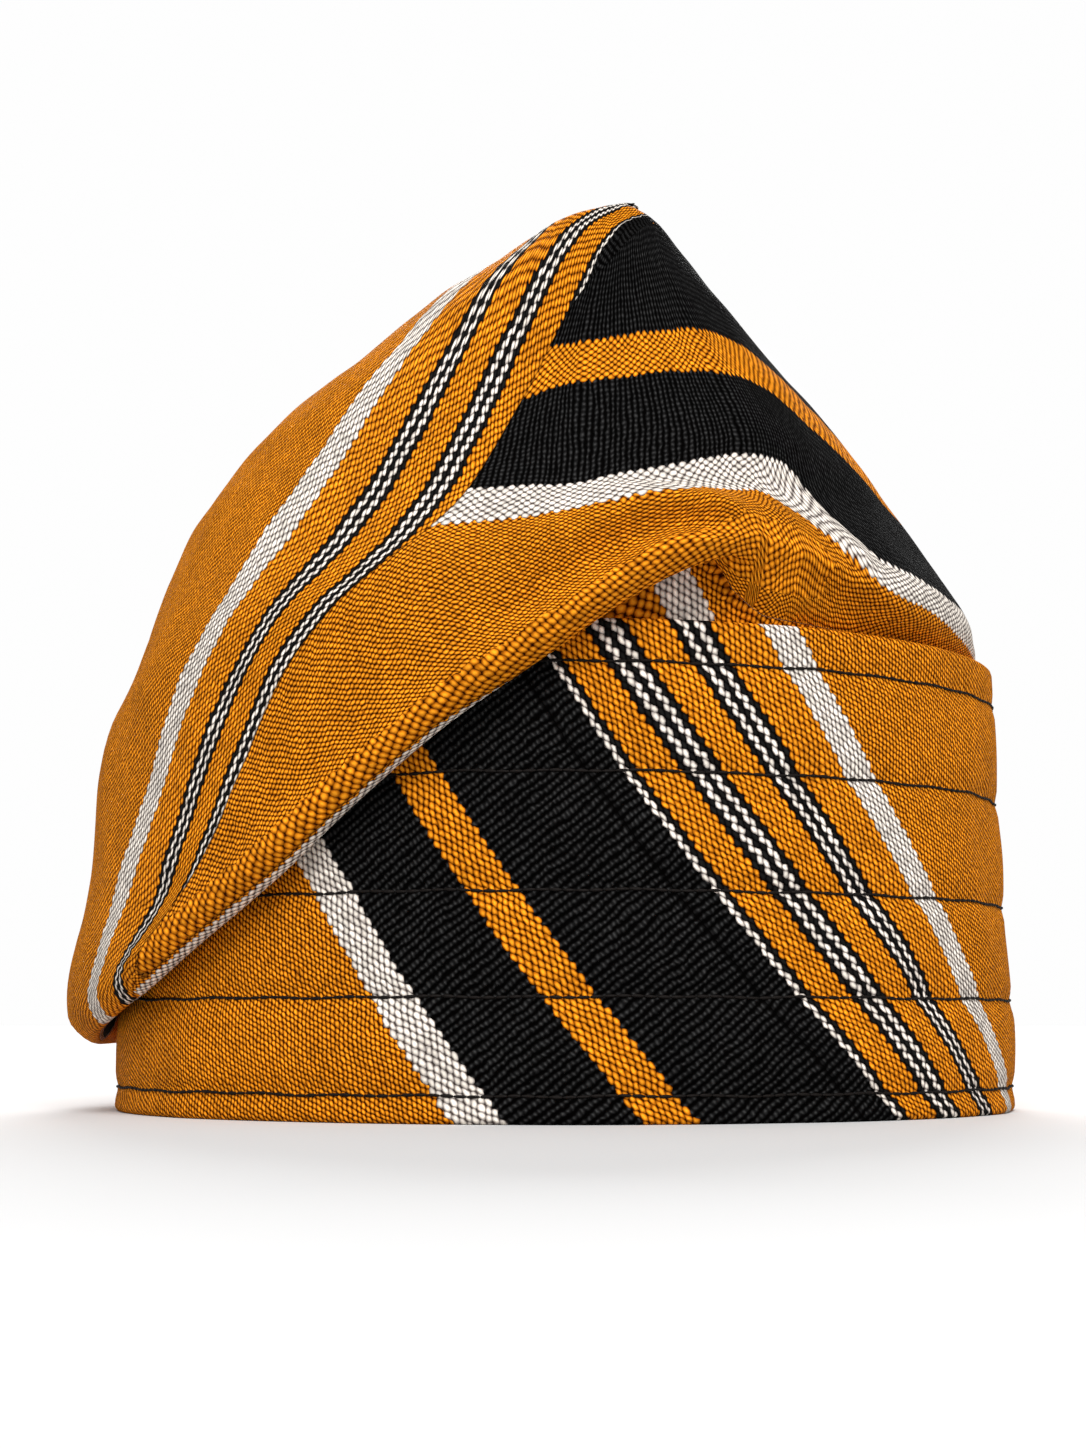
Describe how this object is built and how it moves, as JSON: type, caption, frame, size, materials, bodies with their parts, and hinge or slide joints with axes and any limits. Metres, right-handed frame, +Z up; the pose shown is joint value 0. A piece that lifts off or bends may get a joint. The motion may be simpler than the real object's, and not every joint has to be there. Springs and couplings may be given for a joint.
{
  "type": "folded soft cap",
  "caption": "Soft cap of striped cloth: a stitched upright band round the head and a tall hollow crown folded down over one side as a flap.",
  "frame": {"origin": "on the surface that the rim stands on, under the middle of the cap's box; the band's axis is 5 mm to +X of it", "axes": "+Z up, the front of the cap faces -Y, the flap hangs on the -X side"},
  "size_m": [0.1984, 0.2038, 0.1785],
  "materials": {
    "band_cloth": "woven, matte, striped ochre, black and white with rows of black stitching",
    "crown_cloth": "woven, matte, striped ochre, black and white"
  },
  "bodies": {
    "root": {"band": "band_cloth", "crown": "crown_cloth"}
  },
  "joints": []
}
